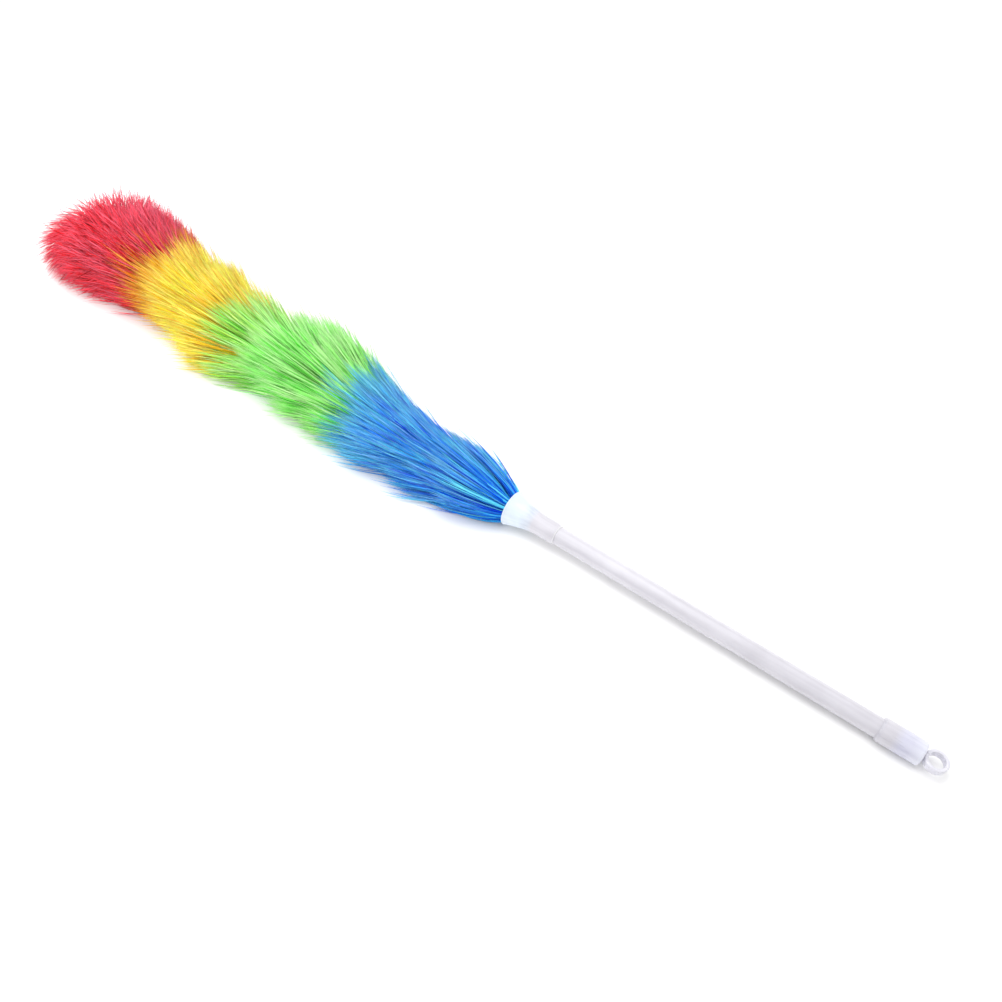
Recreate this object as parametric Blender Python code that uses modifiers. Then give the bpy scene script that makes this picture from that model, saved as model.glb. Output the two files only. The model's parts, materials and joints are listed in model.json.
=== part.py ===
"""Static duster: a twisted-wire brush of coloured plastic filaments on a slim tubular handle.

The duster lies on z = 0 with its length along X: the brush points to -X, the handle to +X.
The collar's rim, the end cap and the flattened underside of the brush touch the ground, so
the handle slopes down by about one degree from the collar to the cap. All sizes are metres.

Stations along the handle are measured from the collar's mouth towards the cap. Depths along
the brush are measured from the same mouth towards the tip, along the wire core.
"""

import math

import bmesh
import bpy
from mathutils import Matrix, Vector

# Place of the collar's mouth, so that the whole duster is centred on the origin.
MOUTH_X = 0.0928
HANDLE_Y = -0.0135

# Handle tube.
TUBE_R = 0.005
TUBE_WALL = 0.001
TUBE_START = 0.0146
TUBE_END = 0.2149

# Collar: a trumpet that shields the filament roots, with a sleeve over the tube.
MOUTH_R = 0.01025
SLEEVE_R = 0.0058
FLARE_LENGTH = 0.020
FLARE_POWER = 1.6
COLLAR_END = 0.0305
COLLAR_WALL = 0.00105
THROAT_R = 0.0036
THROAT_START = 0.010
SHOULDER = 0.0143
SLEEVE_BORE_R = 0.0053
RIM_ROUND = 0.0003

# Bush that holds the wire's tail inside the tube.
BUSH_START = 0.0152
BUSH_END = 0.0352
BUSH_R = 0.0037
BUSH_BORE_R = 0.0023
BUSH_CHAMFER = 0.0004

# End cap, pushed over the tube, with a hole in its end wall for the ring's shank.
CAP_START = 0.2071
CAP_END = 0.2272
CAP_R = 0.0060
CAP_STOP = 0.2152
CAP_HOLLOW_R = 0.0046
CAP_WALL = 0.0016
CAP_HOLE_R = 0.0020
CAP_CHAMFER = 0.0008
CAP_LIP = 0.0006

# Hanging ring: a thick flat ring whose shank snaps through the cap's end wall and turns there.
RING_GAP = 0.0004
RING_R = 0.0053
RING_HOLE_R = 0.0037
RING_THICK = 0.0042
RING_ROUND = 0.00035
SHANK_R = 0.0018
SHANK_IN_RING = 0.0012
SNAP_R = 0.0027
SNAP_CLEAR = 0.0004
SNAP_LIP = 0.0006
SNAP_LENGTH = 0.0026
SNAP_TIP_R = 0.0015

# Wire core: two steel strands twisted round each other.
STRAND_R = 0.0009
STRAND_GAP = 0.0003
WIRE_TAIL = 0.0335
WIRE_FREE = 0.374
TWIST_PITCH = 0.040
POINTS_PER_TURN = 10
WIRE_DRIFT_Y = 0.016
WIRE_DRIFT_POWER = 1.4
WIRE_LIFT_Z = 0.004
WIRE_CLEAR = 0.0003

# Moulded cap on the wire's cut end.
TIP_CAP_R = 0.0035
TIP_CAP_SKIRT = 0.0045
TIP_CAP_OVERLAP = 0.0040

# Brush: depth and radius of its outline, and where each colour's roots end on the wire.
BRUSH_OUTLINE = (
    (0.0003, 0.0086),
    (0.012, 0.0150),
    (0.030, 0.0200),
    (0.060, 0.0240),
    (0.100, 0.0270),
    (0.165, 0.0315),
    (0.200, 0.0305),
    (0.240, 0.0330),
    (0.290, 0.0325),
    (0.330, 0.0355),
    (0.365, 0.0395),
    (0.385, 0.0375),
    (0.402, 0.0300),
    (0.415, 0.0190),
    (0.4235, 0.0060),
)
BRUSH_END = 0.4238
ROOT_ENDS = (0.087, 0.184, 0.275)
FILAMENT_LEAN = 0.043
BAND_GAP = 0.0008
CHANNEL_POINTS = 4

TURNED_STEPS = 32
BRUSH_STEPS = 28
FLOOR_CUT = 0.1

HANDLE_SLOPE = math.atan((MOUTH_R - CAP_R) / CAP_END)
MOUTH_Z = MOUTH_R * math.cos(HANDLE_SLOPE)
MOUTH = Vector((MOUTH_X, HANDLE_Y, MOUTH_Z))
HANDLE_AXIS = Vector((math.cos(HANDLE_SLOPE), 0.0, -math.sin(HANDLE_SLOPE)))
STRAND_OFFSET = STRAND_R + STRAND_GAP / 2
CORE_R = STRAND_OFFSET + STRAND_R
CHANNEL_R = CORE_R + WIRE_CLEAR
RING_STATION = CAP_END + RING_GAP + RING_R

# Colour, roughness, metallic and opacity of each material.
FINISHES = {
    "steel_wire": ((0.55, 0.55, 0.57), 0.35, 1.0, 1.0),
    "frosted_plastic": ((0.90, 0.90, 0.93), 0.35, 0.0, 0.8),
    "collar_plastic": ((0.86, 0.93, 0.98), 0.35, 0.0, 0.9),
    "core_plastic": ((0.85, 0.85, 0.87), 0.45, 0.0, 1.0),
    "blue_filament": ((0.05, 0.25, 0.80), 0.45, 0.0, 1.0),
    "green_filament": ((0.20, 0.75, 0.15), 0.45, 0.0, 1.0),
    "yellow_filament": ((0.95, 0.65, 0.05), 0.45, 0.0, 1.0),
    "red_filament": ((0.75, 0.03, 0.06), 0.45, 0.0, 1.0),
}


# ---------------------------------------------------------------- scene helpers


def clear_scene():
    """Empties the scene and leaves the open file alone."""
    for ob in list(bpy.data.objects):
        bpy.data.objects.remove(ob, do_unlink=True)


def make_collection(name):
    """A new collection in the scene."""
    collection = bpy.data.collections.new(name)
    bpy.context.scene.collection.children.link(collection)
    return collection


def make_material(name):
    """A Principled material with the finish of that name."""
    colour, roughness, metallic, opacity = FINISHES[name]
    material = bpy.data.materials.new(name)
    material.use_nodes = True
    shader = material.node_tree.nodes["Principled BSDF"]
    shader.inputs["Base Color"].default_value = (*colour, 1.0)
    shader.inputs["Roughness"].default_value = roughness
    shader.inputs["Metallic"].default_value = metallic
    shader.inputs["Alpha"].default_value = opacity
    return material


def add_object(name, data, material=None, parent=None):
    """Puts data in the duster's collection, with a material and a parent."""
    ob = bpy.data.objects.new(name, data)
    PARTS.objects.link(ob)
    if material:
        data.materials.append(MATERIALS[material])
    if parent:
        ob.parent = parent
    return ob


def make_cutter(ob):
    """Hides an object that only shapes others."""
    for collection in list(ob.users_collection):
        collection.objects.unlink(ob)
    CUTTERS.objects.link(ob)
    ob.hide_render = True
    ob.display_type = "WIRE"


def smooth(mesh, angle=math.radians(35)):
    """Smooth shading with sharp edges kept."""
    mesh.shade_smooth()
    mesh.set_sharp_from_angle(angle=angle)


# ---------------------------------------------------------------- turned shapes


def profile_mesh(name, points, closed):
    """A line of (radius, height) points in the XZ plane."""
    mesh = bpy.data.meshes.new(name)
    edges = [(i, i + 1) for i in range(len(points) - 1)]
    if closed:
        edges.append((len(points) - 1, 0))
    mesh.from_pydata([(r, 0.0, z) for r, z in points], edges, [])
    return mesh


def turned(name, points, material, parent=None, steps=TURNED_STEPS, closed=True):
    """A solid of revolution about the object's Z. The points run down the outer side."""
    ob = add_object(name, profile_mesh(name, points, closed), material, parent)
    screw = ob.modifiers.new("turn", "SCREW")
    screw.axis = "Z"
    screw.angle = math.tau
    screw.steps = steps
    screw.render_steps = steps
    screw.use_merge_vertices = True
    screw.merge_threshold = 0.00001
    screw.use_normal_calculate = False
    screw.use_smooth_shade = True
    return ob


def evaluated_mesh(ob):
    """The object's mesh with its modifiers applied."""
    bpy.context.view_layer.update()
    graph = bpy.context.evaluated_depsgraph_get()
    return bpy.data.meshes.new_from_object(ob.evaluated_get(graph))


def boolean(ob, other, operation):
    """Joins or cuts a solid with another."""
    modifier = ob.modifiers.new(operation.lower(), "BOOLEAN")
    modifier.object = other
    modifier.operation = operation
    modifier.solver = "EXACT"


# ---------------------------------------------------------------- handle


def handle_empty():
    """An empty at the collar's mouth whose Z runs along the handle to the cap."""
    empty = bpy.data.objects.new("handle_line", None)
    PARTS.objects.link(empty)
    empty.location = MOUTH
    empty.rotation_euler = (0.0, math.pi / 2 + HANDLE_SLOPE, 0.0)
    return empty


def flare_radius(station):
    """Outer radius of the collar, which opens towards its mouth."""
    if station >= FLARE_LENGTH:
        return SLEEVE_R
    share = (1.0 - station / FLARE_LENGTH) ** FLARE_POWER
    return SLEEVE_R + (MOUTH_R - SLEEVE_R) * share


def collar_profile():
    """Down the sleeve and the flare to the rim, then back up the funnel, throat and bore."""
    outer = [(SLEEVE_R, COLLAR_END)]
    outer += [(flare_radius(s), s) for s in (FLARE_LENGTH * k / 8 for k in range(8, 0, -1))]
    outer += [(MOUTH_R - RIM_ROUND / 2, RIM_ROUND), (MOUTH_R - 2 * RIM_ROUND, 0.0)]
    mouth_bore = MOUTH_R - COLLAR_WALL
    inner = [(mouth_bore, RIM_ROUND)]
    for k in range(1, 5):
        share = k / 5
        radius = THROAT_R + (mouth_bore - THROAT_R) * (1.0 - share) ** FLARE_POWER
        inner.append((radius, RIM_ROUND + (THROAT_START - RIM_ROUND) * share))
    inner += [(THROAT_R, THROAT_START), (THROAT_R, SHOULDER)]
    inner += [(SLEEVE_BORE_R, SHOULDER), (SLEEVE_BORE_R, COLLAR_END)]
    return outer + inner


def cap_profile():
    """Down the cap's outside from the end wall to its lip, then back up the bore."""
    return [
        (CAP_HOLE_R, CAP_END),
        (CAP_R - CAP_CHAMFER, CAP_END),
        (CAP_R, CAP_END - CAP_CHAMFER),
        (CAP_R, CAP_START + CAP_LIP),
        (CAP_R - CAP_LIP / 2, CAP_START),
        (SLEEVE_BORE_R, CAP_START),
        (SLEEVE_BORE_R, CAP_STOP),
        (CAP_HOLLOW_R, CAP_STOP),
        (CAP_HOLLOW_R, CAP_END - CAP_WALL),
        (CAP_HOLE_R, CAP_END - CAP_WALL),
    ]


def tube_profile():
    """A plain tube."""
    bore = TUBE_R - TUBE_WALL
    return [(TUBE_R, TUBE_END), (TUBE_R, TUBE_START), (bore, TUBE_START), (bore, TUBE_END)]


def bush_profile():
    """A sleeve with chamfered outer edges."""
    slim = BUSH_R - BUSH_CHAMFER
    return [
        (slim, BUSH_END),
        (BUSH_R, BUSH_END - BUSH_CHAMFER),
        (BUSH_R, BUSH_START + BUSH_CHAMFER),
        (slim, BUSH_START),
        (BUSH_BORE_R, BUSH_START),
        (BUSH_BORE_R, BUSH_END),
    ]


def ring_profile():
    """A flat band with rounded edges, turned about the ring's own axis."""
    half = RING_THICK / 2
    flat = half - RING_ROUND
    return [
        (RING_HOLE_R + RING_ROUND, half),
        (RING_R - RING_ROUND, half),
        (RING_R, flat),
        (RING_R, -flat),
        (RING_R - RING_ROUND, -half),
        (RING_HOLE_R + RING_ROUND, -half),
        (RING_HOLE_R, -flat),
        (RING_HOLE_R, flat),
    ]


def shank_profile():
    """The shank from inside the ring's band down to the snap head, on the handle's line."""
    top = CAP_END + RING_GAP + SHANK_IN_RING
    seat = CAP_END - CAP_WALL - SNAP_CLEAR
    return [
        (0.0, top),
        (SHANK_R, top),
        (SHANK_R, seat),
        (SNAP_R, seat),
        (SNAP_R, seat - SNAP_LIP),
        (SNAP_TIP_R, seat - SNAP_LENGTH),
        (0.0, seat - SNAP_LENGTH),
    ]


def build_ring(handle):
    """The ring and its shank, joined. The object's origin is on the handle's line, which it turns about."""
    swivel = bpy.data.objects.new("ring_swivel_line", None)
    PARTS.objects.link(swivel)
    swivel.parent = handle
    swivel.location = (0.0, 0.0, CAP_END)
    shank = turned("ring_shank", shank_profile(), None, swivel, closed=False)
    shank.location = (0.0, 0.0, -CAP_END)
    make_cutter(shank)
    ring = turned("hang_ring", ring_profile(), "frosted_plastic", swivel)
    ring.location = (0.0, 0.0, RING_STATION - CAP_END)
    ring.rotation_euler = (0.0, -math.pi / 2, 0.0)
    boolean(ring, shank, "UNION")


def build_handle():
    """Collar, tube, bush, cap and ring on one straight line."""
    handle = handle_empty()
    turned("collar", collar_profile(), "collar_plastic", handle)
    turned("handle_tube", tube_profile(), "frosted_plastic", handle)
    turned("wire_bush", bush_profile(), "core_plastic", handle, steps=24)
    turned("end_cap", cap_profile(), "frosted_plastic", handle)
    build_ring(handle)


# ---------------------------------------------------------------- wire core


def wire_point(depth):
    """The middle of the wire core at a depth: straight in the handle, drifting in the brush."""
    point = MOUTH - HANDLE_AXIS * depth
    if depth > 0.0:
        share = depth / WIRE_FREE
        point.y += WIRE_DRIFT_Y * share**WIRE_DRIFT_POWER
        point.z += WIRE_LIFT_Z * share**2
    return point


def wire_frame(depth):
    """Two directions across the core and its direction towards the tip."""
    step = 0.0005
    along = (wire_point(depth + step) - wire_point(depth - step)).normalized()
    across = along.cross(Vector((0.0, 0.0, 1.0))).normalized()
    up = across.cross(along)
    return up, across, along


def to_wire(point):
    """A point given across and along the core, as a point in the duster's frame."""
    up, across, _ = wire_frame(point.z)
    return wire_point(point.z) + up * point.x + across * point.y


def build_strand(name, phase):
    """One strand, as a tube on a helix round the core's line."""
    length = WIRE_TAIL + WIRE_FREE
    count = round(length / TWIST_PITCH * POINTS_PER_TURN)
    curve = bpy.data.curves.new(name, "CURVE")
    curve.dimensions = "3D"
    curve.bevel_depth = STRAND_R
    curve.bevel_resolution = 1
    curve.use_fill_caps = True
    spline = curve.splines.new("POLY")
    spline.points.add(count)
    for i in range(count + 1):
        depth = -WIRE_TAIL + length * i / count
        turn = math.tau * depth / TWIST_PITCH + phase
        offset = Vector((STRAND_OFFSET * math.cos(turn), STRAND_OFFSET * math.sin(turn), depth))
        spline.points[i].co = (*to_wire(offset), 1.0)
    add_object(name, curve, "steel_wire")


def build_tip_cap():
    """A domed cap on the wire's end, closed towards the tip."""
    dome_centre = WIRE_FREE + WIRE_CLEAR
    points = [(0.0, dome_centre + TIP_CAP_R)]
    for k in range(1, 7):
        angle = math.pi / 2 * (1.0 - k / 6)
        points.append((TIP_CAP_R * math.cos(angle), dome_centre + TIP_CAP_R * math.sin(angle)))
    points += [
        (TIP_CAP_R, WIRE_FREE - TIP_CAP_SKIRT),
        (CHANNEL_R, WIRE_FREE - TIP_CAP_SKIRT),
        (CHANNEL_R, dome_centre),
        (0.0, dome_centre),
    ]
    bent("tip_cap", points, "core_plastic", steps=20, closed=False)


# ---------------------------------------------------------------- brush


def bent(name, points, material, steps, closed=True):
    """A turned solid whose axis then follows the wire core."""
    straight = turned(name + "_straight", points, None, steps=steps, closed=closed)
    mesh = evaluated_mesh(straight)
    bpy.data.objects.remove(straight, do_unlink=True)
    mesh.name = name
    for vertex in mesh.vertices:
        vertex.co = to_wire(vertex.co)
    smooth(mesh)
    return add_object(name, mesh, material)


def outline_radius(depth):
    """The brush's radius at a depth."""
    for (d0, r0), (d1, r1) in zip(BRUSH_OUTLINE, BRUSH_OUTLINE[1:]):
        if depth <= d1:
            return r0 + (r1 - r0) * (depth - d0) / (d1 - d0)
    return BRUSH_OUTLINE[-1][1]


def outer_line(start, end):
    """The outline between two depths, from the deeper one back."""
    middle = [(r, d) for d, r in BRUSH_OUTLINE if start < d < end]
    line = [(outline_radius(start), start), *middle, (outline_radius(end), end)]
    return line[::-1]


def channel(start, end):
    """The clearance round the wire, in a few stretches so that it can follow the core."""
    depths = [start + (end - start) * k / CHANNEL_POINTS for k in range(CHANNEL_POINTS + 1)]
    return [(CHANNEL_R, d) for d in depths]


def band_profile(root_start, root_end):
    """A band whose ends are cones, because the filaments lean towards the tip."""
    outer_start = root_start + FILAMENT_LEAN
    if root_start < BAND_GAP:
        outer_start = root_start
    outer = outer_line(outer_start, root_end - BAND_GAP + FILAMENT_LEAN)
    return outer + channel(root_start, root_end - BAND_GAP)


def tip_profile(root_start):
    """The last band, closed round the wire's end and its cap."""
    pocket_start = WIRE_FREE - TIP_CAP_SKIRT - WIRE_CLEAR
    pocket_end = WIRE_FREE + TIP_CAP_R + 2 * WIRE_CLEAR
    pocket_r = TIP_CAP_R + WIRE_CLEAR
    outer = [(0.0, BRUSH_END), *outer_line(root_start + FILAMENT_LEAN, BRUSH_OUTLINE[-1][0])]
    pocket = [(pocket_r, pocket_start), (pocket_r, pocket_end), (0.0, pocket_end)]
    return outer + channel(root_start, pocket_start) + pocket


def floor_cutter():
    """A block under the ground, which flattens the underside of the brush."""
    mesh = bpy.data.meshes.new("ground_cutter")
    form = bmesh.new()
    block = Matrix.Translation((0.0, 0.0, -FLOOR_CUT / 2)) @ Matrix.Diagonal((1.0, 1.0, FLOOR_CUT, 1.0))
    bmesh.ops.create_cube(form, size=1.0, matrix=block)
    form.to_mesh(mesh)
    form.free()
    cutter = add_object("ground_cutter", mesh)
    make_cutter(cutter)
    return cutter


def build_brush():
    """Four bands of filaments along the core, each flattened where it lies on the ground."""
    cutter = floor_cutter()
    starts = (BRUSH_OUTLINE[0][0], *ROOT_ENDS)
    for colour, start, end in zip(("blue", "green", "yellow"), starts, ROOT_ENDS):
        profile = band_profile(start, end)
        band = bent(f"bristles_{colour}", profile, f"{colour}_filament", BRUSH_STEPS)
        boolean(band, cutter, "DIFFERENCE")
    profile = tip_profile(ROOT_ENDS[-1])
    band = bent("bristles_red", profile, "red_filament", BRUSH_STEPS, closed=False)
    boolean(band, cutter, "DIFFERENCE")


clear_scene()
PARTS = make_collection("static_duster")
CUTTERS = make_collection("cutters")
MATERIALS = {name: make_material(name) for name in FINISHES}
build_handle()
build_strand("wire_strand_a", 0.0)
build_strand("wire_strand_b", math.pi)
build_tip_cap()
build_brush()
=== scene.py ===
import json
import math
from collections import namedtuple

import bpy
import numpy as np
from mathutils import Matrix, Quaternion, Vector


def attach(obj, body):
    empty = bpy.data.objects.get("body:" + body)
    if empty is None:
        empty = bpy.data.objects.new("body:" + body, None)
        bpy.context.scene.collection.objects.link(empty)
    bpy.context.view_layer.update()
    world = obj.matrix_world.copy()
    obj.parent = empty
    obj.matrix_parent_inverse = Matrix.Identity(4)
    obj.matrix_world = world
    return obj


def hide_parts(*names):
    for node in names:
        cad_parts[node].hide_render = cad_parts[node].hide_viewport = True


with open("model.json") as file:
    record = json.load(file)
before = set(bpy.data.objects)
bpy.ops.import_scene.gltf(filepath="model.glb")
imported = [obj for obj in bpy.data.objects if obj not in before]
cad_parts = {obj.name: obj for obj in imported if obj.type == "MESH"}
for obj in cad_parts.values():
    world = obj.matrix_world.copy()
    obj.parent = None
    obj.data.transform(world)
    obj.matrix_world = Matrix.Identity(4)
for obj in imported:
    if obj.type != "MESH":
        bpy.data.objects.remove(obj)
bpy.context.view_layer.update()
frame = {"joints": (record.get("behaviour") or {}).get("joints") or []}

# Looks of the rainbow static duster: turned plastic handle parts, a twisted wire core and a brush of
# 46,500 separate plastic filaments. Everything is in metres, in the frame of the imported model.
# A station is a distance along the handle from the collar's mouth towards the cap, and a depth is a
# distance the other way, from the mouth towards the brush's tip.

MM = 0.001
# The radius at which an outline is closed on its axis.
TINY = 0.02 * MM

# ---------------------------------------------------------------- the handle's line, from the frame

SWIVEL = next(j for j in frame["joints"] if j["name"] == "ring_swivel")
AXIS = np.array(SWIVEL["axis"]) / np.linalg.norm(SWIVEL["axis"])
SIDE = np.array([0.0, 1.0, 0.0])
UP = np.cross(AXIS, SIDE)

CAP_WALL = 1.6 * MM
CAP_START, CAP_END = 207.1 * MM, 227.2 * MM
MOUTH = np.array(SWIVEL["pos_m"]) - AXIS * (CAP_END - CAP_WALL / 2)

TUBE_R, TUBE_BORE_R = 5.0 * MM, 4.0 * MM
TUBE_START, TUBE_END = 14.6 * MM, 214.9 * MM

# The collar's and the cap's bores reach this far into the tube's wall, so that no gap shows.
SNUG_R = TUBE_R - 0.15 * MM

COLLAR_END = 30.5 * MM
MOUTH_R, SLEEVE_R = 10.25 * MM, 5.8 * MM
FLARE_LENGTH, FLARE_POWER = 20.0 * MM, 1.6
COLLAR_WALL, RIM_R = 1.05 * MM, 0.5 * MM
THROAT_R, THROAT_START, SHOULDER = 3.6 * MM, 10.0 * MM, 14.3 * MM

CAP_R, CAP_HOLLOW_R, CAP_HOLE_R, CAP_STOP = 6.0 * MM, 4.6 * MM, 2.0 * MM, 215.2 * MM

RING_GAP, RING_R, RING_HOLE_R, RING_THICK = 0.4 * MM, 5.3 * MM, 3.7 * MM, 4.2 * MM
SHANK_R, SNAP_R = 1.8 * MM, 2.7 * MM

BUSH_START, BUSH_END, BUSH_R, BUSH_BORE_R = 15.2 * MM, 35.2 * MM, 3.7 * MM, 2.3 * MM

WIRE_TAIL, WIRE_FREE = 33.5 * MM, 374.0 * MM
STRAND_R, STRAND_OFFSET = 0.9 * MM, 1.0 * MM
TWIST_PITCH, POINTS_PER_TURN, STRAND_SIDES = 11.0 * MM, 16, 10
WIRE_DRIFT_Y, WIRE_DRIFT_POWER, WIRE_LIFT_Z = 16.0 * MM, 1.4, 4.0 * MM
TIP_CAP_R, TIP_CAP_SKIRT, TIP_CAP_BORE_R, TIP_CAP_FLOOR = 3.5 * MM, 4.5 * MM, 2.25 * MM, 0.3 * MM

# ---------------------------------------------------------------- the brush

# Depth from the collar's mouth, and the brush's radius on its far upper side and near lower side.
BRUSH_SIDES = np.array(
    [
        (0, 9.0, 9.0),
        (9, 12.5, 14.0),
        (18, 15.0, 16.0),
        (36, 18.5, 21.5),
        (55, 18.5, 25.0),
        (75, 19.0, 27.5),
        (95, 20.5, 29.0),
        (115, 24.5, 29.0),
        (137, 31.5, 28.0),
        (150, 34.5, 27.5),
        (165, 36.5, 29.0),
        (182, 34.5, 26.5),
        (206, 29.5, 27.0),
        (230, 29.0, 36.5),
        (243, 31.5, 38.0),
        (256, 31.5, 31.0),
        (282, 31.5, 28.5),
        (310, 33.5, 27.0),
        (339, 40.0, 32.0),
        (353, 41.5, 35.5),
        (370, 43.5, 41.0),
        (383, 38.0, 46.0),
        (398, 17.0, 43.0),
        (415, 7.5, 38.0),
        (424, 3.0, 30.0),
    ]
) * MM
FAR_ANGLE = math.radians(57)
# How far a filament's tip lies ahead of its root, by the root's depth, and how much farther red ones reach
# on the near side.
LEANS = np.array([(-8, 50), (60, 48), (265, 46), (300, 28), (330, 16), (374, 10)]) * MM
NEAR_LEAN = 18.0 * MM
ROOT_R = 1.5 * MM
FIRST_ROOT = -7.0 * MM
ROOT_ENDS = np.array([87.0, 184.0, 275.0, 374.0]) * MM
LONGEST = 46.0 * MM
CURVE_POINTS = 7
SEED = 7

# Filaments stand in tufts, and tufts in clumps. Spreads are standard deviations.
CLUMP_SIZE, TUFT_SIZE = 90, 15
CLUMP_REACH, TUFT_REACH, FILAMENT_REACH = 0.07, 0.05, 0.06
CLUMP_SHIFT, TUFT_SHIFT = 0.10, 0.06
TUFT_DEPTH, FILAMENT_DEPTH = 3.5 * MM, 0.8 * MM
TUFT_ANGLE, FILAMENT_ANGLE = 0.12, 0.10
TUFT_FULL, FILAMENT_FULL = 0.03, 0.05
# A clump's fullness, as a share of the brush's outline.
USUAL_FULL, THIN_FULL, FULL_LIMITS = 0.985, (0.6, 0.92), (0.3, 1.35)
# The share of tufts that stand apart from their clump, and by what angle at most.
LOOSE_TUFTS, LOOSE_ANGLE = 0.3, 0.8
# The share of filaments that stick out, how long they are at most, and how much longer on the near side.
STICK_OUT, STICK_OUT_MOST, NEAR_STICK_OUT = 0.05, 1.22, 0.35

# The last filaments fan out over a dome. It tilts towards the near side and is lower on the far side.
FAN_START, FAN_LENGTH, FAN_ANGLE = 346.0 * MM, 40.0 * MM, math.radians(84)
FAN_TILT, FAN_TRIM = math.radians(30), 0.17
FAN_SPREAD, FAN_LIMITS = 0.06, (0.8, 1.10)
FAN_MIDDLE_SHARE, FAN_MIDDLE_ANGLE = 0.12, 0.35

# A filament's bend: where it is along the filament, how much of the tip's radius it has reached (more
# near the collar, which holds the roots), and the root's share of its angle.
BEND_SHARES = (0.12, 0.26)
BEND_RISE, COLLAR_BEND_RISE, BEND_RISE_SPREAD = 0.47, 0.58, 0.03
COLLAR_ROOTS = 6 * MM
BEND_OF_ROOT, BEND_OF_TIP = 0.3, 0.7
STRAY_BOW, STRAY_JITTER = 0.35, 3.0 * MM
# Filaments keep off the funnel's wall. Below GROUND_SOFT they are pressed into thin layers down to
# GROUND_GAP above the ground, and no corner of a ribbon is lower than LOWEST.
FUNNEL_GAP = 0.5 * MM
GROUND_GAP, GROUND_SOFT, LOWEST = 0.4 * MM, 5.0 * MM, 0.05 * MM

# Ribbons: half of a width in millimetres, thickness as a share of width, and width along the filament.
HALF_WIDTHS, FLATNESS = (0.28, 0.62), 0.35
TAPER_AT, TAPER = [0, 0.1, 0.75, 1.0], [0.8, 1.0, 0.85, 0.3]
PIECE_SIZE = 5000
# The filaments' strips in the UV map: columns, margin and length along a strip, margin and step across it.
STRIP_COLUMNS, STRIP_MARGIN, STRIP_LENGTH = 12, 0.04, 0.92
LANE_MARGIN, LANE_STEP = 0.2, 0.3

# Tints: the film's thickness by tuft and by filament, and how it changes the colour.
FILM_OF_TUFT, FILM_OF_FILAMENT, FILM_MEAN, FILM_LIMITS = 0.45, 0.85, 0.1, (-0.8, 2.2)
BRIGHTNESS, BRIGHT_SPREAD = 1.27, 0.08
# The root's share paints shade: the colour deepens towards the roots, deep inside the brush.
FILM_DEEPENS, ROOT_PAINTED_SHADE, ROOT_SHADE_POWER = 0.5, 0.18, 1.5
# Painted highlight: paleness towards the tip, which stands in for the sheen of the tips, filaments that
# are pale all along as painted glints, and how far to the far side and by how much filaments get paler
# there, a painted highlight of the light from above that side.
TIP_HIGHLIGHT_MEAN, TIP_HIGHLIGHT_SPREAD, TIP_HIGHLIGHT_FROM, TIP_HIGHLIGHT_POWER = 0.30, 0.30, 0.40, 1.2
GLINT_FILAMENTS, GLINT_ROOT, GLINT_GAIN = 0.12, 0.08, 0.75
FAR_HIGHLIGHT_REACH, FAR_PAINTED_HIGHLIGHT = 32.0 * MM, 0.45
# Over what length a tip takes on the next band's colour.
OVER_LENGTH, OVER_SPREAD = 32 * MM, 0.15


def srgb(*levels):
    """Linear colour from screen levels of 0 to 255."""
    share = np.array(levels) / 255
    return np.where(share <= 0.04045, share / 12.92, ((share + 0.055) / 1.055) ** 2.4)


# A colour of the brush: number of filaments, body colour and the paler tip colour, which is a painted
# highlight, how much the tips take on the next band's colour, how much darker a thick filament is, spread
# of the clumps' fullness, share of thin clumps, spread of the tips' angle, share of stray filaments,
# spread of the filaments' sideways bow, how far the band's end is moved towards the tip on the near side
# and the far side (mm), and the share of clumps that stand among the next colour and how far (mm).
Band = namedtuple(
    "Band",
    "count body tip over darkens uneven thin loose stray bow near_end far_end overrun_share overrun",
)
BANDS = {
    "blue": Band(
        count=10500,
        body=srgb(44, 154, 255),
        tip=srgb(140, 214, 255),
        over=0.35,
        darkens=0.27,
        uneven=0.045,
        thin=0.30,
        loose=0.10,
        stray=0.03,
        bow=0.06,
        near_end=-3.0,
        far_end=-11.0,
        overrun_share=0.2,
        overrun=4.0,
    ),
    "green": Band(
        count=10500,
        body=srgb(138, 240, 106),
        tip=srgb(206, 255, 180),
        over=0.25,
        darkens=0.20,
        uneven=0.045,
        thin=0.30,
        loose=0.10,
        stray=0.03,
        bow=0.06,
        near_end=4.0,
        far_end=-7.0,
        overrun_share=0.2,
        overrun=6.0,
    ),
    "yellow": Band(
        count=10500,
        body=srgb(255, 208, 40),
        tip=srgb(255, 248, 130),
        over=0.74,
        darkens=0.20,
        uneven=0.045,
        thin=0.30,
        loose=0.13,
        stray=0.05,
        bow=0.08,
        near_end=-9.0,
        far_end=-10.0,
        overrun_share=0.36,
        overrun=27.0,
    ),
    "red": Band(
        count=15000,
        body=srgb(208, 10, 18),
        tip=srgb(255, 120, 146),
        over=0.0,
        darkens=0.34,
        uneven=0.025,
        thin=0.08,
        loose=0.50,
        stray=0.26,
        bow=0.34,
        near_end=0.0,
        far_end=0.0,
        overrun_share=0.0,
        overrun=0.0,
    ),
}

# ---------------------------------------------------------------- plastic shades, dark and light, some of them painted shade or light

TUBE_SHADES = ((0.57, 0.555, 0.605), (0.685, 0.67, 0.725))
# Painted shade: the cap is darker over its hollow, where the shadow beneath shows through its thin wall.
HOLLOW_PAINTED_SHADE = ((0.57, 0.57, 0.69), (0.68, 0.68, 0.79))
END_SHADES = ((0.68, 0.69, 0.79), (0.78, 0.79, 0.88))
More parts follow.
